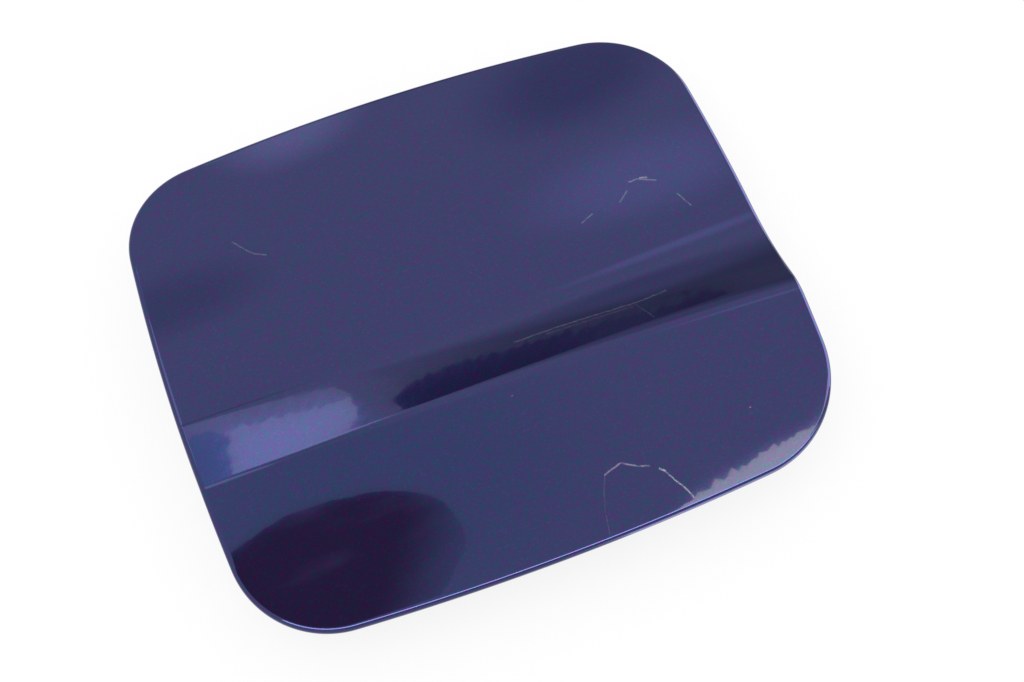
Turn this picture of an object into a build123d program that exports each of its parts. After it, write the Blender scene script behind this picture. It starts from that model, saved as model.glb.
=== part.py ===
from build123d import *
import math
import os

# A car's fuel filler flap, taken off its hinge and lying face up on its rubber buffers.
# Lengths in mm, +Z up, X along the shoulder band, origin under the middle of the outline.

# Outline in plan: overall size, how far each corner point is set in, bowed sides, corner radii
flap_length = 182.0
flap_height = 159.6
corner_set_in = {"ul": (7.3, 5.9), "ur": (1.7, 3.7), "lr": (4.8, 6.1), "ll": (1.8, 5.1)}
side_radii = {"top": 800.0, "right": 940.0, "bottom": 700.0, "left": 680.0}
corner_radii = {"ul": 27.5, "ur": 27.5, "lr": 33.5, "ll": 28.5}

# Heights: the inner panel's floor stands on the buffers, the crown stands over the floor
buffer_height = 13.0
box_depth = 11.0

# Outer surface: a crowned upper field, a shoulder band, a lower field standing prouder to the right
crown_centre = (-46.0, 22.0)
crown_radius_x = 1500.0
upper_field_radius = 850.0
lower_field_radius = 600.0
step_left, step_right = 2.8, 10.5
band_top_left, band_top_right = -3.5, -7.0
band_bottom = -25.5
concave_radius_left, concave_radius_right = 10.0, 34.0
convex_radius_left, convex_radius_right = 4.5, 14.0

# Sheet metal and the hem that joins skin and inner panel
skin_thickness = 0.8
inner_thickness = 0.7
hem_film = 0.05
hem_width = 9.0
hem_edge_gap = 0.6
hem_roll_radius = 1.05

# Inner panel: a drawn pan with a flat floor and two raised swages
pan_inset = 20.0
pan_draft = 25.0
pan_bend_radius = 2.5
swage_length, swage_width = 78.0, 19.0
swage_offset = 37.0
swage_height = 6.0
swage_draft = 30.0

# Hinge seat: two screws into weld nuts
hinge_edge = 34.0
hinge_spacing = 34.0
hinge_hole_radius = 2.75
nut_width = 10.0
nut_height = 4.4
nut_bore_radius = 2.5
nut_chamfer = 0.6

# Lock catch: a bent plate with an eye for the lock pin, riveted on
catch_edge = 35.0
catch_thickness = 2.0
catch_width = 24.0
catch_base_length = 20.0
catch_bend_radius = 2.0
catch_foot_gap = 0.8
catch_leg_corner = 5.5
catch_base_corner = 4.0
eye_radius = 3.4
eye_level = 5.6
rivet_radius = 2.0
rivet_clearance = 0.1
rivet_spacing = 14.0
rivet_head_radius = 3.7
rivet_upset_radius = 3.3
rivet_head_height = 1.5

# Rubber buffers, feet at the rest plane
buffer_edge_x, buffer_edge_y = 32.0, 34.8
buffer_body_radius = 7.0
buffer_foot_radius = 5.2
buffer_foot_round = 1.0
buffer_collar = 2.5
buffer_neck_radius = 2.9
buffer_neck_clearance = 0.1
buffer_head_radius = 4.2
buffer_head_height = 3.6
buffer_head_land = 0.6
buffer_tip_radius = 2.1

# Cap holder: a moulded clip with two arms, pegged through the floor
holder_length, holder_width = 46.0, 22.0
holder_corner = 5.0
holder_base = 2.5
holder_slot = 14.0
holder_arm = 4.0
holder_arm_width = 16.0
holder_arm_drop = 8.5
holder_arm_corner = 5.0
holder_bead_radius = 1.0
holder_bead_length = 8.0
holder_bead_rise = 2.2
peg_radius = 2.4
peg_clearance = 0.1
peg_spacing = 34.0
peg_head_radius = 3.1
peg_tip_radius = 1.5
peg_head_height = 3.0

# Mastic between skin and swages
mastic_radius = 4.5
mastic_spacing = 40.0

# Worked out from the sizes above
half_length, half_height = flap_length / 2, flap_height / 2
floor_level = buffer_height
floor_top = floor_level + inner_thickness
crown_top = floor_level + box_depth
hem_depth = 2 * skin_thickness + inner_thickness + 2 * hem_film
reach_x, reach_y = half_length * 1.1, half_height * 1.2
under_level = -2 * buffer_height
over_level = crown_top + 2 * step_right + box_depth


def blend(left, right, x):
    return left + (right - left) * (x + reach_x) / (2 * reach_x)


def on_circle(pole, radius, towards):
    dy, dz = towards[0] - pole[0], towards[1] - pole[1]
    size = math.hypot(dy, dz)
    return (pole[0] + dy / size * radius, pole[1] + dz / size * radius)


def arc_height(pole, radius, y):
    return pole[1] + math.sqrt(radius ** 2 - (y - pole[0]) ** 2)


def at_distance(start, direction, pole, distance):
    # the point on a line that lies at a set distance from a pole, nearest to the start
    ay, az = start[0] - pole[0], start[1] - pole[1]
    half_b = ay * direction[0] + az * direction[1]
    root = math.sqrt(half_b ** 2 - (ay ** 2 + az ** 2 - distance ** 2))
    step = min((-half_b + root, -half_b - root), key=abs)
    return (start[0] + step * direction[0], start[1] + step * direction[1])


def surface_section(x, depth):
    # field arc, hollow arc, band line, shoulder arc and field arc at one station, set down by a depth
    share = (reach_x - x) / (2 * reach_x)
    band_top = band_top_right + (band_top_left - band_top_right) * share ** 2
    concave = blend(concave_radius_left, concave_radius_right, x)
    convex = blend(convex_radius_left, convex_radius_right, x)
    ridge = crown_top - crown_radius_x + math.sqrt(crown_radius_x ** 2 - (x - crown_centre[0]) ** 2)
    upper_pole = (crown_centre[1], ridge - upper_field_radius)
    lower_pole = (crown_centre[1], ridge + blend(step_left, step_right, x) - lower_field_radius)
    crease_upper = (band_top, arc_height(upper_pole, upper_field_radius, band_top))
    crease_lower = (band_bottom, arc_height(lower_pole, lower_field_radius, band_bottom))
    run = (crease_lower[0] - crease_upper[0], crease_lower[1] - crease_upper[1])
    size = math.hypot(*run)
    along = (run[0] / size, run[1] / size)
    out = (along[1], -along[0])
    over_band = (crease_upper[0] + out[0] * concave, crease_upper[1] + out[1] * concave)
    under_band = (crease_lower[0] - out[0] * convex, crease_lower[1] - out[1] * convex)
    hollow = at_distance(over_band, along, upper_pole, upper_field_radius + concave)
    shoulder = at_distance(under_band, along, lower_pole, lower_field_radius - convex)
    upper_r, lower_r = upper_field_radius - depth, lower_field_radius - depth
    hollow_r, shoulder_r = concave + depth, convex - depth
    points = [
        (reach_y, arc_height(upper_pole, upper_r, reach_y)),
        on_circle(upper_pole, upper_r, hollow),
        (hollow[0] - out[0] * hollow_r, hollow[1] - out[1] * hollow_r),
        (shoulder[0] + out[0] * shoulder_r, shoulder[1] + out[1] * shoulder_r),
        on_circle(lower_pole, lower_r, shoulder),
        (-reach_y, arc_height(lower_pole, lower_r, -reach_y)),
    ]
    arcs = [(upper_pole, upper_r), (hollow, hollow_r), None, (shoulder, shoulder_r), (lower_pole, lower_r)]
    edges = []
    for start, end, arc in zip(points, points[1:], arcs):
        if arc is None:
            edges.append(Edge.make_line((x, *start), (x, *end)))
        else:
            chord_middle = ((start[0] + end[0]) / 2, (start[1] + end[1]) / 2)
            middle = on_circle(*arc, chord_middle)
            edges.append(Edge.make_three_point_arc((x, *start), (x, *middle), (x, *end)))
    return edges


def below(depth):
    # everything under the outer surface, set down by a depth
    wires = []
    for station in (-1.0, -0.5, 0.0, 0.5, 1.0):
        x = station * reach_x
        edges = surface_section(x, depth)
        lower_foot, upper_foot = (x, -reach_y, under_level), (x, reach_y, under_level)
        edges += [Edge.make_line(edges[-1] @ 1, lower_foot), Edge.make_line(lower_foot, upper_foot),
                  Edge.make_line(upper_foot, edges[0] @ 0)]
        wires.append(Wire(edges))
    return Solid.make_loft(wires, ruled=False)


def flap_outline():
    signs = {"ul": (-1, 1), "ur": (1, 1), "lr": (1, -1), "ll": (-1, -1)}
    points = {name: (sign[0] * (half_length - corner_set_in[name][0]),
                     sign[1] * (half_height - corner_set_in[name][1])) for name, sign in signs.items()}
    with BuildSketch() as sketch:
        with BuildLine():
            RadiusArc(points["ul"], points["ur"], side_radii["top"])
            RadiusArc(points["ur"], points["lr"], side_radii["right"])
            RadiusArc(points["lr"], points["ll"], side_radii["bottom"])
            RadiusArc(points["ll"], points["ul"], side_radii["left"])
        make_face()
        for name, point in points.items():
            corner = sketch.vertices().sort_by_distance((*point, 0.0))[0]
            fillet(corner, corner_radii[name])
    face = sketch.sketch.faces()[0]
    centre = face.bounding_box().center()
    return Pos(-centre.X, -centre.Y) * face


def inset(distance):
    return offset(outline, amount=-distance).faces()[0]


def prism(face):
    return extrude(Pos(0, 0, under_level / 2) * face, over_level - under_level / 2, dir=(0, 0, 1))


def drill(solid, places, radius):
    for x, y in places:
        solid -= Pos(x, y, floor_level) * Cylinder(radius, 4 * catch_thickness + 2 * inner_thickness)
    return solid


outline = flap_outline()
under_outer = below(0.0)
under_skin = below(skin_thickness)
under_film = below(skin_thickness + hem_film)
under_rim = below(skin_thickness + hem_film + inner_thickness)
under_gap = below(hem_depth - skin_thickness)
under_hem = below(hem_depth)

# Outer skin: a slab with a rolled edge, hollowed for the inner rim and open inside the return flange
slab = (prism(outline) & under_outer) - under_hem
walls = [face for face in slab.faces() if abs(face.normal_at().Z) < 0.3]
rolled = [edge for wall in walls for edge in wall.edges() if abs(edge.tangent_at(0.5).Z) < 0.8]
slab = slab.solids()[0].fillet(hem_roll_radius, rolled)
hem_pocket = (prism(inset(skin_thickness)) & under_skin) - under_gap
hem_opening = prism(inset(hem_width)) & under_skin
outer_skin = slab - hem_pocket - hem_opening

# Inner panel: rim clamped in the hem, drafted wall, flat floor, two raised swages
pan_run = math.tan(math.radians(pan_draft))
pan_slant = inner_thickness / math.cos(math.radians(pan_draft))
swage_run = math.tan(math.radians(swage_draft))
swage_slant = inner_thickness / math.cos(math.radians(swage_draft))


def pan_block(level, side_inset):
    # the drafted block that draws the pan, with a bent bottom edge
    rims = []
    for z in (level, over_level):
        rim = inset(pan_inset + side_inset - (z - floor_level) * pan_run)
        rims.append((Pos(0, 0, z) * rim).outer_wire())
    block = Solid.make_loft(rims, ruled=True)
    bend = pan_bend_radius + inner_thickness - (level - floor_level)
    return block.fillet(bend, block.faces().sort_by(Axis.Z)[0].edges())


def swage_block(y, low, high, grow):
    rims = []
    for level in (low, high):
        spread = 2 * (grow - (level - floor_level) * swage_run)
        slot = SlotOverall(swage_length + spread, swage_width + spread)
        rims.append((Pos(0, y, level) * slot.faces()[0]).outer_wire())
    return Solid.make_loft(rims, ruled=True)


rim_sheet = (prism(inset(skin_thickness + hem_edge_gap)) & under_film) - under_rim
inner_panel = rim_sheet + (pan_block(floor_level, 0.0) & under_film) - pan_block(floor_top, pan_slant)
swage_places = [swage_offset, -swage_offset]
for y in swage_places:
    inner_panel += swage_block(y, floor_level, floor_top + swage_height, swage_slant)
    inner_panel -= swage_block(y, floor_level - inner_thickness, floor_level + swage_height, 0.0)

hinge_x = hinge_edge - half_length
catch_x = half_length - catch_edge
buffer_x, buffer_y = half_length - buffer_edge_x, half_height - buffer_edge_y
hinge_places = [(hinge_x, hinge_spacing / 2), (hinge_x, -hinge_spacing / 2)]
rivet_places = [(catch_x, rivet_spacing / 2), (catch_x, -rivet_spacing / 2)]
peg_places = [(peg_spacing / 2, 0.0), (-peg_spacing / 2, 0.0)]
buffer_places = {"front_upper": (-buffer_x, buffer_y), "front_lower": (-buffer_x, -buffer_y),
                 "rear_upper": (buffer_x, buffer_y), "rear_lower": (buffer_x, -buffer_y)}
inner_panel = drill(inner_panel, hinge_places, hinge_hole_radius)
inner_panel = drill(inner_panel, rivet_places, rivet_radius + rivet_clearance)
inner_panel = drill(inner_panel, peg_places, peg_radius + peg_clearance)
inner_panel = drill(inner_panel, buffer_places.values(), buffer_neck_radius + buffer_neck_clearance)

# Weld nuts for the hinge screws, threads left out
nuts = []
for x, y in hinge_places:
    nut = Pos(x, y, floor_top + nut_height / 2) * Box(nut_width, nut_width, nut_height)
    nut = chamfer(nut.faces().sort_by(Axis.Z)[-1].edges(), nut_chamfer)
    nuts.append(nut - Pos(x, y, floor_top) * Cylinder(nut_bore_radius, 3 * nut_height))
hinge_nuts = Compound(nuts)

# Lock catch: base flat on the floor, leg bent down, eye across the leg
bend_outer = catch_bend_radius + catch_thickness
base_start = catch_x - catch_base_length / 2
leg_outside = catch_x + catch_base_length / 2
leg_inside = leg_outside - catch_thickness
base_low = floor_level - catch_thickness
with BuildPart() as catch_part:
    with BuildSketch(Plane.XZ):
        with BuildLine():
            Line((base_start, floor_level), (leg_outside - bend_outer, floor_level))
            RadiusArc((leg_outside - bend_outer, floor_level), (leg_outside, floor_level - bend_outer),
                      bend_outer)
            Polyline((leg_outside, floor_level - bend_outer), (leg_outside, catch_foot_gap),
                     (leg_inside, catch_foot_gap), (leg_inside, base_low - catch_bend_radius))
            RadiusArc((leg_inside, base_low - catch_bend_radius), (leg_inside - catch_bend_radius, base_low),
                      -catch_bend_radius)
            Polyline((leg_inside - catch_bend_radius, base_low), (base_start, base_low),
                     (base_start, floor_level))
        make_face()
    extrude(amount=catch_width / 2, both=True)
lock_catch = catch_part.part
leg_corners = lock_catch.edges().filter_by(Axis.X).group_by(Axis.Z)[0]
lock_catch = fillet(leg_corners, catch_leg_corner)
base_corners = lock_catch.edges().filter_by(Axis.Z).group_by(Axis.X)[0]
lock_catch = fillet(base_corners, catch_base_corner)
lock_catch -= Pos(leg_inside, 0, eye_level) * Rot(0, 90, 0) * Cylinder(eye_radius, 4 * catch_thickness)
lock_catch = drill(lock_catch, rivet_places, rivet_radius + rivet_clearance)


def dome_arc(radius, level, height):
    # the edge of a low round head, from its rim to its crown on the axis
    ball = (radius ** 2 + height ** 2) / (2 * abs(height))
    pole = level + height - math.copysign(ball, height)
    half_turn = math.asin(radius / ball) / 2
    middle = (ball * math.sin(half_turn), pole + math.copysign(ball * math.cos(half_turn), height))
    return ThreePointArc((radius, level), middle, (0, level + height))


# Catch rivets: round head under the catch, upset head over the floor
with BuildPart() as rivet_part:
    with BuildSketch(Plane.XZ):
        with BuildLine():
            dome_arc(rivet_upset_radius, floor_top, rivet_head_height)
            Polyline((rivet_upset_radius, floor_top), (rivet_radius, floor_top), (rivet_radius, base_low),
                     (rivet_head_radius, base_low))
            dome_arc(rivet_head_radius, base_low, -rivet_head_height)
            Line((0, base_low - rivet_head_height), (0, floor_top + rivet_head_height))
        make_face()
    revolve(axis=Axis.Z)
catch_rivets = Compound([(Pos(x, y, 0) * rivet_part.part).solids()[0] for x, y in rivet_places])

# Rubber buffers: foot, tapered body, neck through the floor, barbed head
with BuildPart() as buffer_part:
    with BuildSketch(Plane.XZ):
        with BuildLine():
            Line((0, 0), (buffer_foot_radius - buffer_foot_round, 0))
            RadiusArc((buffer_foot_radius - buffer_foot_round, 0), (buffer_foot_radius, buffer_foot_round),
                      -buffer_foot_round)
            Polyline((buffer_foot_radius, buffer_foot_round),
                     (buffer_body_radius, floor_level - buffer_collar),
                     (buffer_body_radius, floor_level), (buffer_neck_radius, floor_level),
                     (buffer_neck_radius, floor_top), (buffer_head_radius, floor_top),
                     (buffer_head_radius, floor_top + buffer_head_land),
                     (buffer_tip_radius, floor_top + buffer_head_height),
                     (0, floor_top + buffer_head_height), (0, 0))
        make_face()
    revolve(axis=Axis.Z)
buffers = {name: Pos(x, y, 0) * buffer_part.part for name, (x, y) in buffer_places.items()}

# Cap holder: base on the floor, two arms with beads, two barbed pegs
holder_low = floor_level - holder_base
arm_foot = holder_low - holder_arm_drop
base_plate = RectangleRounded(holder_length, holder_width, holder_corner)
cap_holder = extrude(Pos(0, 0, holder_low) * base_plate, holder_base)
for side in (-1, 1):
    arm_x = side * (holder_slot + holder_arm) / 2
    arm = Box(holder_arm, holder_arm_width, holder_arm_drop)
    arm = fillet(arm.edges().filter_by(Axis.X).group_by(Axis.Z)[0], holder_arm_corner)
    cap_holder += Pos(arm_x, 0, holder_low - holder_arm_drop / 2) * arm
    bead = Rot(90, 0, 0) * Cylinder(holder_bead_radius, holder_bead_length)
    cap_holder += Pos(side * holder_slot / 2, 0, arm_foot + holder_bead_rise) * bead
for x, y in peg_places:
    peg_length = floor_top - holder_low
    cap_holder += Pos(x, y, holder_low + peg_length / 2) * Cylinder(peg_radius, peg_length)
    cap_holder += Pos(x, y, floor_top + peg_head_height / 2) * Cone(
        peg_head_radius, peg_tip_radius, peg_head_height)

# Mastic pads standing on the swages, their tops following the skin
pad_foot = floor_top + swage_height
pads = []
for y in swage_places:
    for x in (mastic_spacing / 2, -mastic_spacing / 2):
        column = Pos(x, y, (pad_foot + over_level) / 2) * Cylinder(mastic_radius, over_level - pad_foot)
        pads.append((column & under_film).solids()[0])
mastic_pads = Compound(pads)

pieces = {"outer_skin": outer_skin, "inner_panel": inner_panel, "hinge_nuts": hinge_nuts,
          "lock_catch": lock_catch, "catch_rivets": catch_rivets, "cap_holder": cap_holder,
          "mastic_pads": mastic_pads}
pieces.update({"buffer_" + name: solid for name, solid in buffers.items()})
os.makedirs("parts", exist_ok=True)
for name, piece in pieces.items():
    export_step(piece, "parts/" + name + ".step")
    print(name, "solids", len(piece.solids()), "volume", round(piece.volume, 1))
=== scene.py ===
import bpy
import math
import numpy as np
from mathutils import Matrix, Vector


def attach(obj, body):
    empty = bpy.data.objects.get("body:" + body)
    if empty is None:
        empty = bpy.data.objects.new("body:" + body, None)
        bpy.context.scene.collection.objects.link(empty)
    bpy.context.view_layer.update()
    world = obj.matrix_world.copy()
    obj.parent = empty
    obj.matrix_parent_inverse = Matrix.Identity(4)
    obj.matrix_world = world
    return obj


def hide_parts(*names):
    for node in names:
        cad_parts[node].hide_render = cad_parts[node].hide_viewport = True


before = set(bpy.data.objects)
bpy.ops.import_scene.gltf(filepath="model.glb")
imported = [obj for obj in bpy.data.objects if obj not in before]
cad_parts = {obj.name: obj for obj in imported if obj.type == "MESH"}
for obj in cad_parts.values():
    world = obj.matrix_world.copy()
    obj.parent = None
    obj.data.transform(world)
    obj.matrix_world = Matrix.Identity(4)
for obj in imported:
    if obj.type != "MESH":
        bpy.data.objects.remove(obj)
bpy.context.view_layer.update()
mm = 0.001
print("frame loaded:", len(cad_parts), "nodes")


# shader maths: a value socket that takes part in Python expressions
class Tone:
    def __init__(self, bench, socket):
        self.bench, self.socket = bench, socket

    def work(self, operation, first, second):
        return self.bench.add("ShaderNodeMath", {"operation": operation}, {0: first, 1: second})

    def __add__(self, other):
        return self.work("ADD", self, other)

    def __radd__(self, other):
        return self.work("ADD", other, self)

    def __sub__(self, other):
        return self.work("SUBTRACT", self, other)

    def __rsub__(self, other):
        return self.work("SUBTRACT", other, self)

    def __mul__(self, other):
        return self.work("MULTIPLY", self, other)

    def __rmul__(self, other):
        return self.work("MULTIPLY", other, self)

    def least(self, other):
        return self.work("MINIMUM", self, other)

    def most(self, other):
        return self.work("MAXIMUM", self, other)


class Bench:
    def __init__(self, owner, tree=None):
        if tree is None:
            owner.use_nodes = True
        self.owner, self.tree = owner, tree or owner.node_tree
        self.tree.nodes.clear()

    def put(self, socket, value):
        if isinstance(value, Tone):
            self.tree.links.new(value.socket, socket)
        elif value is not None:
            socket.default_value = value

    # one node: its settings first, then what goes into its sockets
    def add(self, kind, settings=None, sockets=None, out=0):
        node = self.tree.nodes.new(kind)
        for name, value in (settings or {}).items():
            setattr(node, name, value)
        for name, value in (sockets or {}).items():
            self.put(node.inputs[name], value)
        return Tone(self, node.outputs[out]) if len(node.outputs) else node

    def place(self):    # object coordinates
        return self.add("ShaderNodeTexCoord", out=3)

    def axis(self, which):
        return self.add("ShaderNodeSeparateXYZ", None, {0: self.place()}, which)

    def noise(self, scale, detail=2.0, roughness=0.5, vector=None):
        return self.add("ShaderNodeTexNoise", {"noise_dimensions": "3D"},
                        {"Vector": vector or self.place(), "Scale": scale, "Detail": detail,
                         "Roughness": roughness})

    def smooth(self, value, low, high, toLow=0.0, toHigh=1.0):
        return self.add("ShaderNodeMapRange", {"interpolation_type": "SMOOTHSTEP"},
                        {0: value, 1: low, 2: high, 3: toLow, 4: toHigh})

    def mix(self, factor, first, second):
        return self.add("ShaderNodeMix", {"data_type": "RGBA"}, {0: factor, 6: first, 7: second}, 2)

    def vector(self, operation, first, second=None, scale=None, out=0):
        return self.add("ShaderNodeVectorMath", {"operation": operation},
                        {0: first, 1: second, 3: scale}, out)

    def bump(self, height, distance):
        return self.add("ShaderNodeBump", None,
                        {"Height": height, "Distance": distance, "Strength": 1.0})

    def close(self, shader):
        self.add("ShaderNodeOutputMaterial", None, {"Surface": shader})
        return self.owner

    def finishWith(self, sockets):
        return self.close(self.add("ShaderNodeBsdfPrincipled", None, sockets))


def newBench(name):
    return Bench(bpy.data.materials.new(name))


def colour(r, g, b):
    return (r, g, b, 1.0)


# the painted skin: the outline in plan, the crowned surface, the sheet and its rolled hem, in mm
skinSize = {
    "length": 182.0, "height": 159.6,
    "setIn": {"ul": (7.3, 5.9), "ur": (1.7, 3.7), "lr": (4.8, 6.1), "ll": (1.8, 5.1)},
    "sideRadius": {"top": 800.0, "right": 940.0, "bottom": 700.0, "left": 680.0},
    "cornerRadius": {"ul": 27.5, "ur": 27.5, "lr": 33.5, "ll": 28.5},
    "crownTop": 24.0, "crownCentre": (-46.0, 22.0), "crownRadius": 1500.0,
    "upperRadius": 850.0, "lowerRadius": 600.0,
    "step": (2.8, 10.5), "bandTop": (-3.5, -7.0), "bandBottom": (-25.5, -27.0),
    "hollowRadius": (10.0, 60.0), "shoulderRadius": (4.5, 18.0), "reach": 1.1,
    "sheet": 0.8, "hemDepth": 2.4, "hemWidth": 9.0, "roll": 1.05, "paintGap": 0.02,
    "columns": 221, "fieldRow": 0.85, "bandRow": 0.5, "bandZone": (-34.0, 3.0),
    "rollSteps": 7, "hemShares": (0.25, 0.5, 0.75, 1.0), "foldShares": (1.0, 0.5, 0.0),
    "waveLengths": (2.4, 8.0), "waveCount": 60, "waveSlope": 0.0006, "waveSeed": 11,
}
signs = {"ul": (-1, 1), "ur": (1, 1), "lr": (1, -1), "ll": (-1, -1)}
sideEnds = {"top": ("ul", "ur"), "right": ("ur", "lr"), "bottom": ("lr", "ll"), "left": ("ll", "ul")}


def unit(v):
    return v / np.linalg.norm(v)


def angleOf(v):
    return math.atan2(v[1], v[0])


def runLength(line):    # the way along a line up to each of its points
    return np.concatenate([[0.0], np.cumsum(np.linalg.norm(np.diff(line, axis=0), axis=1))])


def pointsAt(spots, along, line):
    return np.stack([np.interp(spots, along, line[:, i]) for i in (0, 1)], -1)


def bowCentre(start, end, radius):    # the outline runs clockwise, so the middle lies to the right
    run = end - start
    away = np.array([run[1], -run[0]]) / np.linalg.norm(run)
    return (start + end) / 2 + away * math.sqrt(radius ** 2 - (np.linalg.norm(run) / 2) ** 2)


def circlesMeet(c0, r0, c1, r1, near):
    gap = np.linalg.norm(c1 - c0)
    along = unit(c1 - c0)
    a = (r0 ** 2 - r1 ** 2 + gap ** 2) / (2 * gap)
    h = math.sqrt(r0 ** 2 - a ** 2)
    across = np.array([-along[1], along[0]])
    both = [c0 + a * along + h * across, c0 + a * along - h * across]
    return min(both, key=lambda p: np.linalg.norm(p - near))


def outlineArcs(size):
    half = np.array([size["length"], size["height"]]) / 2
    points = {k: np.array(s) * (half - np.array(size["setIn"][k])) for k, s in signs.items()}
    centres = {k: bowCentre(points[a], points[b], size["sideRadius"][k])
               for k, (a, b) in sideEnds.items()}
    corners = {}
    for k, point in points.items():
        before = next(s for s, ends in sideEnds.items() if ends[1] == k)
        after = next(s for s, ends in sideEnds.items() if ends[0] == k)
        r = size["cornerRadius"][k]
        corners[k] = circlesMeet(centres[before], size["sideRadius"][before] - r,
                                 centres[after], size["sideRadius"][after] - r, point)
    return {"centres": centres, "corners": corners}


def cornerMiddle(arcs, k):
    turns = [unit(arcs["corners"][k] - arcs["centres"][s]) for s, ends in sideEnds.items() if k in ends]
    return angleOf(turns[0] + turns[1])


def arcPoints(centre, radius, start, end, count=160):
    end = start + (end - start + math.pi) % (2 * math.pi) - math.pi
    turn = np.linspace(start, end, count)
    return centre + radius * np.stack([np.cos(turn), np.sin(turn)], -1)


def sideLine(arcs, size, side, inset, shares):    # one side from corner middle to corner middle
    a, b = sideEnds[side]
    centre, radius = arcs["centres"][side], size["sideRadius"][side] - inset
    cornerA, cornerB = arcs["corners"][a], arcs["corners"][b]
    radiusA, radiusB = size["cornerRadius"][a] - inset, size["cornerRadius"][b] - inset
    turnA, turnB = angleOf(cornerA - centre), angleOf(cornerB - centre)
    line = np.concatenate([arcPoints(cornerA, radiusA, cornerMiddle(arcs, a), turnA),
                           arcPoints(centre, radius, turnA, turnB)[1:],
                           arcPoints(cornerB, radiusB, turnB, cornerMiddle(arcs, b))[1:]])
    along = runLength(line)
    return pointsAt(shares * along[-1], along, line) - arcs["middle"]


def crownHeight(size, x, y):    # height of the outer surface over the plane that the buffers stand on
    reachX = size["length"] / 2 * size["reach"]
    share = (x + reachX) / (2 * reachX)

    def blend(pair):
        return pair[0] + (pair[1] - pair[0]) * share

    top = size["bandTop"][1] + (size["bandTop"][0] - size["bandTop"][1]) * (1 - share) ** 2
    low = blend(size["bandBottom"])
    hollowR, shoulderR = blend(size["hollowRadius"]), blend(size["shoulderRadius"])
    upperR, lowerR = size["upperRadius"], size["lowerRadius"]
    middle = size["crownCentre"][1]
    ridge = size["crownTop"] - size["crownRadius"] + np.sqrt(
        size["crownRadius"] ** 2 - (x - size["crownCentre"][0]) ** 2)
    upperZ, lowerZ = ridge - upperR, ridge + blend(size["step"]) - lowerR
    topZ = upperZ + np.sqrt(upperR ** 2 - (top - middle) ** 2)
    lowZ = lowerZ + np.sqrt(lowerR ** 2 - (low - middle) ** 2)
    length = np.hypot(low - top, lowZ - topZ)
    alongY, alongZ = (low - top) / length, (lowZ - topZ) / length
    outY, outZ = alongZ, -alongY

    # along the band's slope from a start, the nearest place at a distance from a field's pole
    def nearest(startY, startZ, poleZ, distance):
        halfB = (startY - middle) * alongY + (startZ - poleZ) * alongZ
        rest = (startY - middle) ** 2 + (startZ - poleZ) ** 2 - distance ** 2
        root = np.sqrt(halfB ** 2 - rest)
        step = np.where(np.abs(-halfB + root) < np.abs(-halfB - root), -halfB + root, -halfB - root)
        return startY + step * alongY, startZ + step * alongZ

    hollowY, hollowZ = nearest(top + outY * hollowR, topZ + outZ * hollowR,
                               upperZ, upperR + hollowR)
    roundY, roundZ = nearest(low - outY * shoulderR, lowZ - outZ * shoulderR,
                             lowerZ, lowerR - shoulderR)
    hollowTop = middle + (hollowY - middle) * upperR / (upperR + hollowR)
    hollowLow = hollowY - outY * hollowR
    roundTop = roundY + outY * shoulderR
    roundLow = middle + (roundY - middle) * lowerR / (lowerR - shoulderR)

    def rise(radius, away):
        return np.sqrt(np.maximum(radius ** 2 - away ** 2, 0.0))

    slope = topZ + (y - top) * alongZ / alongY
    return np.select(
        [y >= hollowTop, y >= hollowLow, y >= roundTop, y >= roundLow],
        [upperZ + rise(upperR, y - middle), hollowZ - rise(hollowR, y - hollowY), slope,
         roundZ + rise(shoulderR, y - roundY)],
        lowerZ + rise(lowerR, y - middle))


# how much longer a plumb line through a sheet is than its thickness
def steepness(size, x, y, nudge=0.02):
    dx = (crownHeight(size, x + nudge, y) - crownHeight(size, x - nudge, y)) / (2 * nudge)
    dy = (crownHeight(size, x, y + nudge) - crownHeight(size, x, y - nudge)) / (2 * nudge)
    return np.sqrt(1 + dx ** 2 + dy ** 2)


def rowShares(size):    # closer rows across the band
    low, high = size["bandZone"]
    reach, fieldRow = size["height"] / 2, size["fieldRow"]
    rows = np.concatenate([np.arange(-reach, low, fieldRow), np.arange(low, high, size["bandRow"]),
                           np.arange(high, reach, fieldRow)])
    rows = rows[:len(rows) - 1 + len(rows) % 2]    # an even number of steps, to take every second
    return np.interp(rows, [-reach, rows[-1]], [0.0, 1.0])


# the faint ripple of pressed sheet, which breaks up the edges of reflections
def sheetWaves(size, x, y):
    draw = np.random.default_rng(size["waveSeed"])
    total = 0 * x
    for length in np.geomspace(*size["waveLengths"], size["waveCount"]):
        turn, phase = draw.uniform(0, 2 * math.pi, 2)
        pace = 2 * math.pi / length
        total += np.sin(pace * (x * math.cos(turn) + y * math.sin(turn)) + phase) / pace
    return total * size["waveSlope"] * math.sqrt(2 / size["waveCount"])


def coonsPatch(arcs, size, inset, every=1):    # a grid of plan points that fills the outline
    u = np.linspace(0, 1, size["columns"])[::every]
    v = rowShares(size)[::every]
    top = sideLine(arcs, size, "top", inset, u)
    bottom = sideLine(arcs, size, "bottom", inset, 1 - u)
    left = sideLine(arcs, size, "left", inset, v)
    right = sideLine(arcs, size, "right", inset, 1 - v)
    uu, vv = u[None, :, None], v[:, None, None]
    plain = (1 - vv) * bottom[None] + vv * top[None] + (1 - uu) * left[:, None] + uu * right[:, None]
    return plain - ((1 - uu) * (1 - vv) * bottom[0] + uu * (1 - vv) * bottom[-1]
                    + (1 - uu) * vv * top[0] + uu * vv * top[-1])


def edgeRing(arcs, size, inset):    # the grid's rim, clockwise from the upper left
    u = np.linspace(0, 1, size["columns"])
    v = rowShares(size)
    sides = [("top", u), ("right", 1 - v[::-1]), ("bottom", u), ("left", v)]
    return np.concatenate([sideLine(arcs, size, side, inset, shares)[:-1] for side, shares in sides])


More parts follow.
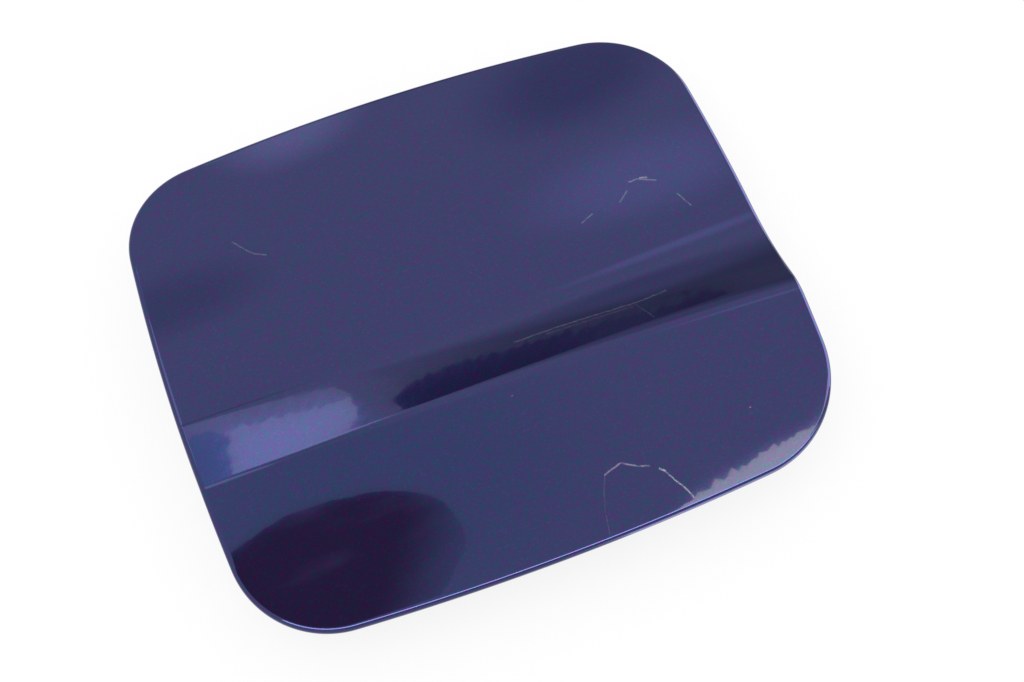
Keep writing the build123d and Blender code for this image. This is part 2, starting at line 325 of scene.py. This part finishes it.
def gridLoop(grid):    # the grid's rim in edgeRing's order
    return np.concatenate([grid[-1, :-1], grid[::-1, -1][:-1], grid[0, ::-1][:-1], grid[:, 0][:-1]])


def gridQuads(grid):
    return np.stack([grid[:-1, :-1], grid[:-1, 1:], grid[1:, 1:], grid[1:, :-1]], -1).reshape(-1, 4)


# rings from the rolled rim to the sheet's inner face: inset, drop, and drop along the sheet's normal
def hemRings(size):
    roll, sheet, hem, width = size["roll"], size["sheet"], size["hemDepth"], size["hemWidth"]
    turns = np.linspace(0, math.pi / 2, size["rollSteps"])
    rings = [(roll * (1 - math.sin(t)), roll * (1 - math.cos(t)), 0.0) for t in turns[1:]]
    rings += [(roll * (1 - math.cos(t)), -roll * (1 - math.sin(t)), hem) for t in turns]
    rings += [(roll + (width - roll) * share, 0.0, hem) for share in size["hemShares"]]
    rings += [(sheet + (width - sheet) * share, 0.0, hem - sheet) for share in size["foldShares"]]
    return rings + [(sheet, 0.0, sheet)]


def buildSkin(size):
    arcs = outlineArcs(size)
    arcs["middle"] = np.zeros(2)
    rim = edgeRing(arcs, size, 0.0)
    arcs["middle"] = (rim.min(0) + rim.max(0)) / 2
    sheet, gap = size["sheet"], size["paintGap"]

    def lift(plan, drop, normalDrop):
        x, y = plan[..., 0], plan[..., 1]
        down = drop + normalDrop * steepness(size, x, y)
        return np.stack([x, y, crownHeight(size, x, y) - gap - down], -1)

    outer = lift(coonsPatch(arcs, size, size["roll"] + gap), 0.0, 0.0)
    outer[..., 2] += sheetWaves(size, outer[..., 0], outer[..., 1])
    under = lift(coonsPatch(arcs, size, 2 * sheet, every=2), 0.0, sheet)
    grid = np.arange(outer.shape[0] * outer.shape[1]).reshape(outer.shape[:2])
    points, ringIds, total = [outer.reshape(-1, 3)], [gridLoop(grid)], grid.size
    for inset, drop, normalDrop in hemRings(size):
        ring = lift(edgeRing(arcs, size, inset + gap), drop, normalDrop)
        ringIds.append(np.arange(len(ring)) + total)
        points.append(ring)
        total += len(ring)
    points.append(under.reshape(-1, 3))
    underGrid = np.arange(under.shape[0] * under.shape[1]).reshape(under.shape[:2]) + total
    quads = [gridQuads(grid), gridQuads(underGrid)[:, ::-1]]
    for a, b in zip(ringIds, ringIds[1:]):
        quads.append(np.stack([a, np.roll(a, -1), np.roll(b, -1), b], -1))
    last = ringIds[-1]
    start, middle, end = last[::2], last[1::2], np.roll(last, -2)[::2]
    near = gridLoop(underGrid)    # the sheet's inner face has half the points
    far = np.roll(near, -1)
    threes = [np.stack(t, -1) for t in ((start, middle, near), (middle, far, near), (middle, end, far))]
    faces = np.concatenate(quads).tolist() + np.concatenate(threes).tolist()
    return np.concatenate(points), faces, arcs


def makeMesh(name, points, faces, sharpAngle=50.0):
    mesh = bpy.data.meshes.new(name)
    mesh.from_pydata((points * mm).tolist(), [], faces)
    mesh.polygons.foreach_set("use_smooth", [True] * len(mesh.polygons))
    mesh.set_sharp_from_angle(angle=math.radians(sharpAngle))
    piece = bpy.data.objects.new(name, mesh)
    bpy.context.scene.collection.objects.link(piece)
    return piece


skinPoints, skinFaces, skinArcs = buildSkin(skinSize)
skin = makeMesh("painted_skin", skinPoints, skinFaces)
print("painted skin:", len(skinFaces), "faces")

# the paint: metallic blue under a clear coat, with flake, orange peel, scratches and specks
paintLook = {
    "violet": colour(0.0290, 0.0085, 0.118), "blue": colour(0.0010, 0.0260, 0.104),
    "flakeScale": 1900.0, "mottleScale": 650.0, "flakeShare": 0.5, "tintRange": (0.40, 0.60),
    "spark": colour(0.035, 0.045, 0.18), "sparkScale": 1500.0, "sparkRange": (0.60, 0.80),
    "sparkShare": 0.25,
    "metallic": 0.8, "roughness": 0.055, "haze": 0.02, "hazeScale": 60.0,
    "coat": 0.65, "coatScale": 1140.0, "coatFloor": 0.80, "coatSpread": 0.40, "coatRoughness": 0.02,
    "peelScale": 520.0, "peelHeight": 2.5e-6,
    "scuff": colour(0.34, 0.33, 0.42), "scuffRoughness": 0.45, "scuffMetal": 0.6, "scuffCoat": 0.8,
    "scratchWidth": 0.42, "waver": 0.0005, "waverScale": 700.0,
    "breakScale": 900.0, "breakRange": (0.35, 0.6), "breakFloor": 0.5,
}
# scratches and specks: a width factor, a strength and plan points in mm
scratches = [
    (0.8, 0.3, [(-57.1, 46.7), (-54.7, 43.1), (-52.5, 40.4), (-49.4, 38.8)]),
    (0.8, 0.35, [(40.4, 16.3), (44.4, 18.2)]),
    (0.8, 0.35, [(53.8, 19.3), (57.3, 22.2)]),
    (0.9, 0.4, [(59.1, 24.9), (61.8, 25.1), (67.0, 22.9)]),
    (1.2, 0.9, [(62.8, 25.1), (64.6, 24.8)]),
    (0.8, 0.35, [(71.1, 16.6), (73.3, 11.4)]),
    (0.6, 0.13, [(9.0, -78.1), (10.4, -71.1), (12.2, -66.1), (14.2, -62.0)]),
    (1.0, 0.5, [(14.2, -62.0), (16.7, -61.1), (19.7, -60.3), (23.5, -62.7), (26.7, -63.8)]),
    (1.2, 0.8, [(29.2, -65.6), (30.3, -66.6)]),
    (0.9, 0.55, [(30.3, -66.6), (31.9, -69.9), (33.8, -73.1), (34.9, -76.2)]),
    (1.0, 0.3, [(6.6, -14.8), (17.7, -14.5), (31.0, -14.7), (44.2, -15.1), (53.7, -14.1)]),
    (1.6, 0.12, [(16.0, -15.6), (31.0, -15.9), (42.5, -16.0)]),
    (0.7, 0.2, [(43.1, -14.6), (46.1, -22.3)]),
    (0.9, 0.4, [(-1.2, -31.6), (-1.0, -31.6)]),
    (0.9, 0.4, [(60.1, -57.6), (60.3, -57.6)]),
]


def segmentDistance(bench, plan, start, end):
    start, end = np.array([*start, 0.0]) * mm, np.array([*end, 0.0]) * mm
    run = end - start
    away = bench.vector("SUBTRACT", plan, tuple(start))
    share = bench.vector("DOT_PRODUCT", away, tuple(run / (run @ run)), out=1)
    share = bench.add("ShaderNodeClamp", None, {0: share})
    foot = bench.vector("SCALE", tuple(run), scale=share)
    return bench.vector("LENGTH", bench.vector("SUBTRACT", away, foot), out=1)


def scratchMarks(bench, look):    # 1 in a scratch, 0 on whole paint
    plan = bench.vector("MULTIPLY", bench.place(), (1.0, 1.0, 0.0))
    shake = bench.add("ShaderNodeTexNoise", None,
                      {"Vector": plan, "Scale": look["waverScale"], "Detail": 2.0}, out=1)
    shake = bench.vector("SUBTRACT", shake, (0.5, 0.5, 0.5))
    wavered = bench.vector("ADD", plan, bench.vector("SCALE", shake, scale=look["waver"]))
    marks = None
    for width, strength, line in scratches:
        reach = look["scratchWidth"] * width * mm
        for start, end in zip(line, line[1:]):
            away = segmentDistance(bench, wavered, start, end)
            mark = bench.smooth(away, 0.0, reach, strength, 0.0)
            marks = mark if marks is None else marks.most(mark)
    broken = bench.smooth(bench.noise(look["breakScale"]), *look["breakRange"])
    return marks * (look["breakFloor"] + (1 - look["breakFloor"]) * broken)


def bodyPaint(look):
    bench = newBench("body_paint")
    marks = scratchMarks(bench, look)
    flake, mottle = bench.noise(look["flakeScale"], detail=1.0), bench.noise(look["mottleScale"])
    tint = look["flakeShare"] * flake + (1 - look["flakeShare"]) * mottle
    base = bench.mix(bench.smooth(tint, *look["tintRange"]), look["violet"], look["blue"])
    glint = bench.smooth(bench.noise(look["sparkScale"], detail=0.0), *look["sparkRange"])
    base = bench.mix(look["sparkShare"] * glint, base, look["spark"])
    base = bench.mix(marks, base, look["scuff"])
    rough = look["roughness"] + look["haze"] * bench.noise(look["hazeScale"], detail=3.0)
    rough = rough + (look["scuffRoughness"] - look["roughness"]) * marks
    spread = look["coatFloor"] + look["coatSpread"] * bench.noise(look["coatScale"], detail=1.0)
    coat = look["coat"] * spread.least(1.0)
    peel = bench.noise(look["peelScale"], roughness=0.4)
    return bench.finishWith({
        "Base Color": base, "Metallic": look["metallic"] * (1 - look["scuffMetal"] * marks),
        "Roughness": rough, "Coat Weight": coat * (1 - look["scuffCoat"] * marks),
        "Coat Roughness": look["coatRoughness"], "Normal": bench.bump(peel, look["peelHeight"])})


skin.data.materials.append(bodyPaint(paintLook))
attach(skin, "root")
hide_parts("outer_skin")

# finishes of the solids behind the skin
innerLook = {"base": colour(0.026, 0.030, 0.110), "dust": colour(0.10, 0.10, 0.13), "metallic": 0.45,
             "roughness": 0.42, "dustRoughness": 0.2, "dustShare": 0.35, "dustScale": 55.0,
             "dustRange": (0.45, 0.8), "grainScale": 900.0, "grainDepth": 6e-6}


def innerPaint(look):
    bench = newBench("inner_paint")
    dust = bench.noise(look["dustScale"], detail=4.0, roughness=0.6)
    dust = bench.smooth(dust, *look["dustRange"])
    return bench.finishWith({
        "Base Color": bench.mix(look["dustShare"] * dust, look["base"], look["dust"]),
        "Metallic": look["metallic"], "Roughness": look["roughness"] + look["dustRoughness"] * dust,
        "Normal": bench.bump(bench.noise(look["grainScale"], detail=3.0), look["grainDepth"])})


zincLook = {"base": colour(0.58, 0.57, 0.53), "shade": colour(0.42, 0.41, 0.36), "metallic": 0.9,
            "roughness": 0.34, "cloudRoughness": 0.16, "cloudScale": 160.0, "cloudRange": (0.3, 0.75),
            "grainScale": 1600.0, "grainDepth": 8e-6}


def zincSteel(look):
    bench = newBench("zinc_steel")
    cloud = bench.noise(look["cloudScale"], detail=4.0, roughness=0.6)
    cloud = bench.smooth(cloud, *look["cloudRange"])
    return bench.finishWith({
        "Base Color": bench.mix(cloud, look["base"], look["shade"]), "Metallic": look["metallic"],
        "Roughness": look["roughness"] + look["cloudRoughness"] * cloud,
        "Normal": bench.bump(bench.noise(look["grainScale"]), look["grainDepth"])})


wearLook = {"scale": 90.0, "range": (0.4, 0.8), "grainRoughness": 0.15}    # shared by the next three
plasticLook = {"base": colour(0.025, 0.025, 0.027), "worn": colour(0.05, 0.05, 0.052),
               "roughness": 0.5, "grainScale": 1500.0, "grainDepth": 1.5e-5}
rubberLook = {"base": colour(0.018, 0.018, 0.018), "worn": colour(0.04, 0.04, 0.038),
              "roughness": 0.68, "grainScale": 900.0, "grainDepth": 1e-5}
masticLook = {"base": colour(0.28, 0.27, 0.25), "worn": colour(0.20, 0.19, 0.18),
              "roughness": 0.7, "grainScale": 400.0, "grainDepth": 5e-5}


def grainPlastic(name, look):
    bench = newBench(name)
    grain = bench.noise(look["grainScale"])
    wear = bench.smooth(bench.noise(wearLook["scale"], detail=3.0), *wearLook["range"])
    return bench.finishWith({
        "Base Color": bench.mix(wear, look["base"], look["worn"]),
        "Roughness": look["roughness"] + wearLook["grainRoughness"] * grain,
        "Normal": bench.bump(grain, look["grainDepth"])})


zinc = zincSteel(zincLook)
plastic = grainPlastic("black_plastic", plasticLook)
rubber = grainPlastic("black_rubber", rubberLook)
mastic = grainPlastic("mastic", masticLook)
innerFinish = innerPaint(innerLook)
finishes = {"inner_panel": innerFinish, "hinge_nuts": zinc, "lock_catch": zinc, "catch_rivets": zinc,
            "cap_holder": plastic, "mastic_pads": mastic}
finishes.update({name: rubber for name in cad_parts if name.startswith("buffer_")})
for name, finish in finishes.items():
    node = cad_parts[name]
    node.data.materials.clear()
    node.data.materials.append(finish)
print("finishes set on", len(finishes), "solids")

# the painted-over sealer bead along the hem's inner edge, drawn round the flap by nodes, in mm
beadSize = {"inset": 9.35, "depth": 1.95, "Bead Radius": 0.75, "Point Spacing": 2.0,
            "Waver": 0.2, "Lump Scale": 90.0, "Sides": 10, "Seed": 3.0}


def beadTree():
    tree = bpy.data.node_groups.new("sealer_bead", "GeometryNodeTree")
    kinds = {"Path": "Geometry", "Bead Radius": "Float", "Point Spacing": "Float", "Waver": "Float",
             "Lump Scale": "Float", "Sides": "Int", "Seed": "Float", "Finish": "Material"}
    sockets = {name: tree.interface.new_socket(name, in_out="INPUT", socket_type="NodeSocket" + kind)
               for name, kind in kinds.items()}
    tree.interface.new_socket("Bead", in_out="OUTPUT", socket_type="NodeSocketGeometry")
    bench = Bench(None, tree)
    given = tree.nodes.new("NodeGroupInput")
    inlet = {name: Tone(bench, given.outputs[name]) for name in kinds}
    line = bench.add("GeometryNodeMeshToCurve", None, {"Mesh": inlet["Path"]})
    line = bench.add("GeometryNodeResampleCurve", {"mode": "LENGTH"},
                     {"Curve": line, "Length": inlet["Point Spacing"]})
    lumps = bench.add("ShaderNodeTexNoise", {"noise_dimensions": "4D"},
                      {"W": inlet["Seed"], "Scale": inlet["Lump Scale"]})
    swell = 1 + inlet["Waver"] * (2 * lumps - 1)
    ring = bench.add("GeometryNodeCurvePrimitiveCircle", {"mode": "RADIUS"},
                     {"Resolution": inlet["Sides"], "Radius": inlet["Bead Radius"]})
    tube = bench.add("GeometryNodeCurveToMesh", None,
                     {"Curve": line, "Profile Curve": ring, "Scale": swell})
    tube = bench.add("GeometryNodeSetShadeSmooth", None, {"Geometry": tube})
    tube = bench.add("GeometryNodeRealizeInstances", None, {"Geometry": tube})
    tube = bench.add("GeometryNodeSetMaterial", None, {"Geometry": tube, "Material": inlet["Finish"]})
    bench.add("NodeGroupOutput", None, {"Bead": tube})
    return tree, sockets


def drawBead(size, finish):
    plan = edgeRing(skinArcs, skinSize, size["inset"])
    x, y = plan[:, 0], plan[:, 1]
    z = crownHeight(skinSize, x, y) - size["depth"] * steepness(skinSize, x, y)
    path = np.stack([x, y, z], -1) * mm
    mesh = bpy.data.meshes.new("sealer_path")
    mesh.from_pydata(path.tolist(), [(i, (i + 1) % len(path)) for i in range(len(path))], [])
    bead = bpy.data.objects.new("sealer_bead", mesh)
    bpy.context.scene.collection.objects.link(bead)
    tree, sockets = beadTree()
    grow = bead.modifiers.new("draw_bead", "NODES")
    grow.node_group = tree
    for name in ("Bead Radius", "Point Spacing"):
        grow[sockets[name].identifier] = size[name] * mm
    for name in ("Waver", "Lump Scale", "Sides", "Seed"):
        grow[sockets[name].identifier] = size[name]
    grow[sockets["Finish"].identifier] = finish
    plain = bpy.data.meshes.new_from_object(bead.evaluated_get(bpy.context.evaluated_depsgraph_get()))
    bead.modifiers.remove(grow)
    bead.data = plain
    return bead


bead = drawBead(beadSize, innerFinish)
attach(bead, "root")
print("sealer bead:", len(bead.data.polygons), "faces")

# floor: pale, white to the camera and to reflections, and still shaded by the flap
floorLook = {"across": (-6.0, 6.0), "colour": colour(0.92, 0.92, 0.92), "glow": 0.84}


def makePlane(name, corners, material):
    mesh = bpy.data.meshes.new(name)
    mesh.from_pydata(corners, [], [tuple(range(len(corners)))])
    mesh.materials.append(material)
    plane = bpy.data.objects.new(name, mesh)
    bpy.context.scene.collection.objects.link(plane)
    return plane


def level(z, across, depth):    # corners of a lying rectangle
    (left, right), (near, far) = across, depth
    return [(left, near, z), (right, near, z), (right, far, z), (left, far, z)]


def upright(y, across, height):    # corners of a standing rectangle
    (left, right), (foot, head) = across, height
    return [(left, y, foot), (right, y, foot), (right, y, head), (left, y, head)]


def floorFinish(look):
    bench = newBench("pale_floor")
    seen = [bench.add("ShaderNodeLightPath", out=k) for k in (0, 3, 6)]    # camera, glossy, transmission
    shown = seen[0].most(seen[1]).most(seen[2])
    diffuse = bench.add("ShaderNodeBsdfDiffuse", None, {"Color": look["colour"]})
    glow = bench.add("ShaderNodeEmission", None, {"Strength": 1.0})
    return bench.close(bench.add("ShaderNodeMixShader", None,
                                 {0: look["glow"] * shown, 1: diffuse, 2: glow}))


makePlane("floor", level(0.0, floorLook["across"], floorLook["across"]), floorFinish(floorLook))

# studio: an even white room, one soft overhead lamp, and cards that only reflections see, in metres
studio = {"room": 1.0, "lampPower": 6.0, "lampSize": 1.2, "lampPlace": (-0.5, -0.3, 1.5),
          "wallY": 2.5, "wallGap": 0.004, "ceiling": 0.724, "discPoints": 48, "discCore": 0.2}


def cardFinish(name, light, veil=None, tint=None):
    bench = newBench(name)
    glow = bench.add("ShaderNodeEmission", None,
                     {"Color": tint(bench) if tint else colour(*light), "Strength": 1.0})
    if veil:    # where it is 1, the card is clear
        clear = bench.add("ShaderNodeBsdfTransparent")
        glow = bench.add("ShaderNodeMixShader", None, {0: veil(bench), 1: glow, 2: clear})
    return bench.close(glow)


def makeCard(name, corners, light, veil=None, tint=None):
    card = makePlane(name, corners, cardFinish(name, light, veil, tint))
    for ray in ("camera", "diffuse", "transmission", "volume_scatter", "shadow"):
        setattr(card, "visible_" + ray, False)


def rounded(corners, times=3, cut=0.25):    # cuts the corners of an outline
    points = np.array(corners)
    for _ in range(times):
        ahead = np.roll(points, -1, axis=0)
        pairs = [(1 - cut) * points + cut * ahead, cut * points + (1 - cut) * ahead]
        points = np.stack(pairs, 1).reshape(-1, 2)
    return points.tolist()


# wall cards: outlines in x and z, and their light
wallCards = {
    "window_card": ([(0.031, 3.17), (0.070, 3.08), (0.153, 2.89), (0.224, 2.72), (0.287, 2.575),
                     (0.328, 2.49), (0.292, 2.52), (0.226, 2.58), (0.10, 2.78), (-0.10, 3.12),
                     (-0.45, 3.58), (-0.45, 3.67), (-0.158, 3.405), (-0.013, 3.265)],
                    (2.75, 2.95, 3.05)),
    "sky_card": ([(-0.009, 3.275), (-0.158, 3.41), (-0.45, 3.67), (-0.45, 3.95), (-0.25, 3.70),
                  (-0.14, 3.57), (-0.08, 3.47)], (0.85, 1.25, 1.5)),
    "frame_card": ([(-0.10, 3.61), (-0.017, 3.465), (0.059, 3.268), (0.127, 3.09), (0.203, 2.895),
                    (0.272, 2.72), (0.342, 2.55), (0.350, 2.50), (0.323, 2.49), (0.224, 2.70),
                    (0.153, 2.87), (0.070, 3.06), (0.031, 3.155), (-0.020, 3.28), (-0.10, 3.47),
                    (-0.16, 3.57)], (1.7, 1.7, 1.65)),
    "crease_card": ([(-0.80, 4.1), (-0.16, 4.1), (-0.16, 7.5), (-0.80, 7.5)], (2.0, 2.0, 2.0)),
    "dark_card": ([(0.329, 2.374), (0.358, 2.355), (0.403, 2.293), (0.443, 2.221), (0.486, 2.129),
                   (0.569, 1.954), (0.698, 1.651), (0.843, 1.332), (0.94, 1.13), (1.037, 0.958),
                   (1.08, 0.80), (1.04, 0.72), (0.90, 0.80), (0.72, 1.10), (0.55, 1.45),
                   (0.40, 1.80), (0.22, 2.15), (0.18, 2.36)], (0.17, 0.12, 0.16)),
}
for i, (name, (corners, light)) in enumerate(wallCards.items()):
    y = studio["wallY"] + studio["wallGap"] * i    # a little apart, so that none share a plane
    makeCard(name, [(x, y, z) for x, z in rounded(corners)], light)

# the dark flag under the ceiling: streaked, and thinner towards one side
flagCard = {
    "rim": [(-0.30, 0.045), (-0.20, 0.070), (-0.141, 0.088), (-0.112, 0.101), (-0.091, 0.107),
            (-0.069, 0.106), (-0.044, 0.103), (-0.020, 0.097), (0.003, 0.085), (0.021, 0.071),
            (0.031, 0.057), (0.036, 0.038), (0.040, 0.012), (0.034, -0.013), (0.022, -0.026),
            (0.006, -0.050), (-0.012, -0.066), (-0.05, -0.12), (-0.30, -0.12)],
    "light": (0.29, 0.13, 0.13), "streak": (0.55, 0.33, 0.38), "streakScale": 26.0,
    "streakStretch": (0.45, 1.0, 1.0), "streakRange": (0.50, 0.72), "streakShare": 0.8,
    "thin": 0.75, "thinLean": 0.5, "thinRange": (-0.035, 0.05),
}


def flagVeil(bench):
    across = bench.axis(0) - flagCard["thinLean"] * bench.axis(1)
    return flagCard["thin"] * bench.smooth(across, *flagCard["thinRange"])


def flagTint(bench):
    long = bench.vector("MULTIPLY", bench.place(), flagCard["streakStretch"])
    cloud = bench.smooth(bench.noise(flagCard["streakScale"], vector=long), *flagCard["streakRange"])
    return bench.mix(flagCard["streakShare"] * cloud, colour(*flagCard["light"]),
                     colour(*flagCard["streak"]))


flagRim = [(x, y, studio["ceiling"]) for x, y in rounded(flagCard["rim"])]
makeCard("flag_card", flagRim, flagCard["light"], flagVeil, flagTint)

# the pale card under the ceiling, with small tears along its near edge
paleCard = {"edge": [(0.218, -0.051), (0.236, -0.042), (0.267, -0.030), (0.295, -0.021),
                     (0.325, -0.012), (0.353, -0.006), (0.371, 0.005), (0.377, 0.018), (0.48, 0.024)],
            "depth": -0.30, "light": (5.2, 5.0, 3.1), "tear": 0.003, "step": 0.004, "seed": 5}


def tornOutline(card):
    draw = np.random.default_rng(card["seed"])
    line = np.array(card["edge"])
    along = runLength(line)
    edge = pointsAt(np.arange(0.0, along[-1], card["step"]), along, line)
    edge[:, 1] += draw.normal(0.0, card["tear"], len(edge))
    return edge.tolist() + [(line[-1, 0], card["depth"]), (line[0, 0], card["depth"])]


makeCard("pale_card", [(x, y, studio["ceiling"]) for x, y in tornOutline(paleCard)], paleCard["light"])

# the tall card at the side: its two ends in degrees from the back, with a height each
sideCard = {"turns": (50.0, 98.0), "distance": 3.0, "foot": 0.03, "tops": (2.9, 5.2),
            "light": (4.2, 4.2, 4.4)}


def sideCorners(card):
    near, far = ((card["distance"] * math.sin(t), card["distance"] * math.cos(t))
                 for t in map(math.radians, card["turns"]))
    foot, (nearTop, farTop) = card["foot"], card["tops"]
    return [(*near, foot), (*far, foot), (*far, farTop), (*near, nearTop)]


makeCard("side_card", sideCorners(sideCard), sideCard["light"])

# discs that are clear towards their rim: middle, radius, second axis (2 stands, 1 lies), light
softCards = {
    "top_left_glow": ((-0.002, 0.2, 0.160), 0.045, 2, (1.75, 1.75, 1.7)),
    "top_right_shade": ((0.14, 0.2, 0.185), 0.07, 2, (0.62, 0.62, 0.68)),
    "left_shade": ((0.06, 2.55, 4.20), 0.50, 2, (0.72, 0.76, 0.74)),
    "right_glow": ((2.10, 2.55, 4.25), 0.75, 2, (1.35, 1.35, 1.45)),
    "ceiling_shade": ((-0.02, 0.09, 0.75), 0.28, 1, (0.75, 0.9, 0.92)),
}


def discRim(middle, radius, axis):
    turns = np.linspace(0, 2 * math.pi, studio["discPoints"], endpoint=False)
    rim = np.tile(middle, (len(turns), 1))
    rim[:, 0] += radius * np.cos(turns)
    rim[:, axis] += radius * np.sin(turns)
    return rim.tolist()


def roundVeil(middle, radius):
    def veil(bench):
        away = bench.vector("SUBTRACT", bench.place(), middle)
        return bench.smooth(bench.vector("LENGTH", away, out=1), studio["discCore"] * radius, radius)
    return veil


for name, (middle, radius, axis, light) in softCards.items():
    makeCard(name, discRim(middle, radius, axis), light, roundVeil(middle, radius))

# a card on the floor, for the light line along the hem
rimGlow = {"across": (0.02, 0.17), "depth": (-0.25, -0.09), "z": 0.002, "light": (3.2, 3.2, 3.6)}
makeCard("rim_glow", level(rimGlow["z"], rimGlow["across"], rimGlow["depth"]), rimGlow["light"])

# the shade behind the wall cards darkens towards the floor
bandShade = {"behind": 0.02, "across": (0.40, 2.1), "height": (0.6, 2.85), "fadeFrom": 1.08,
             "sideFade": 0.2, "light": (0.34, 0.34, 0.34)}


def bandVeil(bench):
    x, z = bench.axis(0), bench.axis(2)
    left, head = bandShade["across"][0], bandShade["height"][1]
    side = 1 - bench.smooth(x, left, left + bandShade["sideFade"])
    return bench.smooth(z, bandShade["fadeFrom"], head).most(side)


bandPlane = upright(studio["wallY"] + bandShade["behind"], bandShade["across"], bandShade["height"])
makeCard("band_shade", bandPlane, bandShade["light"], bandVeil)

# plain standing cards: y, ranges of x and z, light; the shield hides the wall from one corner
plainCards = {
    "corner_shield": (0.21, (-0.13, -0.04), (0.10, 0.255), (1.0, 1.0, 1.0)),
    "front_lamp": (-1.0, (-1.5, 2.2), (1.5, 3.2), (8.0, 8.0, 8.2)),
}
for name, (y, across, height, light) in plainCards.items():
    makeCard(name, upright(y, across, height), light)

# the front shade fades towards its sides
frontShade = {"y": -2.2, "across": (-0.9, 1.6), "height": (1.0, 2.0), "fade": (0.2, 1.0),
              "light": (0.3, 0.3, 0.32)}


def frontVeil(bench):
    spans = ((bench.axis(0), frontShade["across"]), (bench.axis(2), frontShade["height"]))
    x, z = ((value - sum(span) / 2) * (2 / (span[1] - span[0])) for value, span in spans)
    return bench.smooth((x * x).most(z * z), *frontShade["fade"])


frontPlane = upright(frontShade["y"], frontShade["across"], frontShade["height"])
makeCard("front_shade", frontPlane, frontShade["light"], frontVeil)

world = bpy.data.worlds.new("room")
bpy.context.scene.world = world
worldBench = Bench(world)
room = worldBench.add("ShaderNodeBackground", None,
                      {"Color": colour(1.0, 1.0, 1.0), "Strength": studio["room"]})
worldBench.add("ShaderNodeOutputWorld", None, {"Surface": room})

lampData = bpy.data.lights.new("soft_lamp", "AREA")
lampData.shape, lampData.size, lampData.energy = "DISK", studio["lampSize"], studio["lampPower"]
lamp = bpy.data.objects.new("soft_lamp", lampData)
lamp.location = studio["lampPlace"]
lamp.rotation_euler = (-lamp.location).to_track_quat("-Z", "Y").to_euler()
lamp.visible_glossy = False
bpy.context.scene.collection.objects.link(lamp)
print("studio lit")

# camera at the photograph's viewing angle
cameraSet = {"azimuth": -21.6, "elevation": 61.0, "distance": 0.7, "target": (0.0, 0.0, 0.024),
             "lens": 86.13, "sensor": 36.0, "shift": (0.0370, -0.0316), "clip": (0.01, 50.0)}
azimuth, elevation = math.radians(cameraSet["azimuth"]), math.radians(cameraSet["elevation"])
back = Vector((math.sin(azimuth) * math.cos(elevation), -math.cos(azimuth) * math.cos(elevation),
               math.sin(elevation)))
cameraData = bpy.data.cameras.new("camera")
cameraData.sensor_width, cameraData.lens = cameraSet["sensor"], cameraSet["lens"]
cameraData.shift_x, cameraData.shift_y = cameraSet["shift"]
cameraData.clip_start, cameraData.clip_end = cameraSet["clip"]
camera = bpy.data.objects.new("camera", cameraData)
camera.location = Vector(cameraSet["target"]) + back * cameraSet["distance"]
camera.rotation_euler = back.to_track_quat("Z", "Y").to_euler()
bpy.context.scene.collection.objects.link(camera)
bpy.context.scene.camera = camera
bpy.context.scene.view_settings.view_transform = "Standard"
print("camera set")
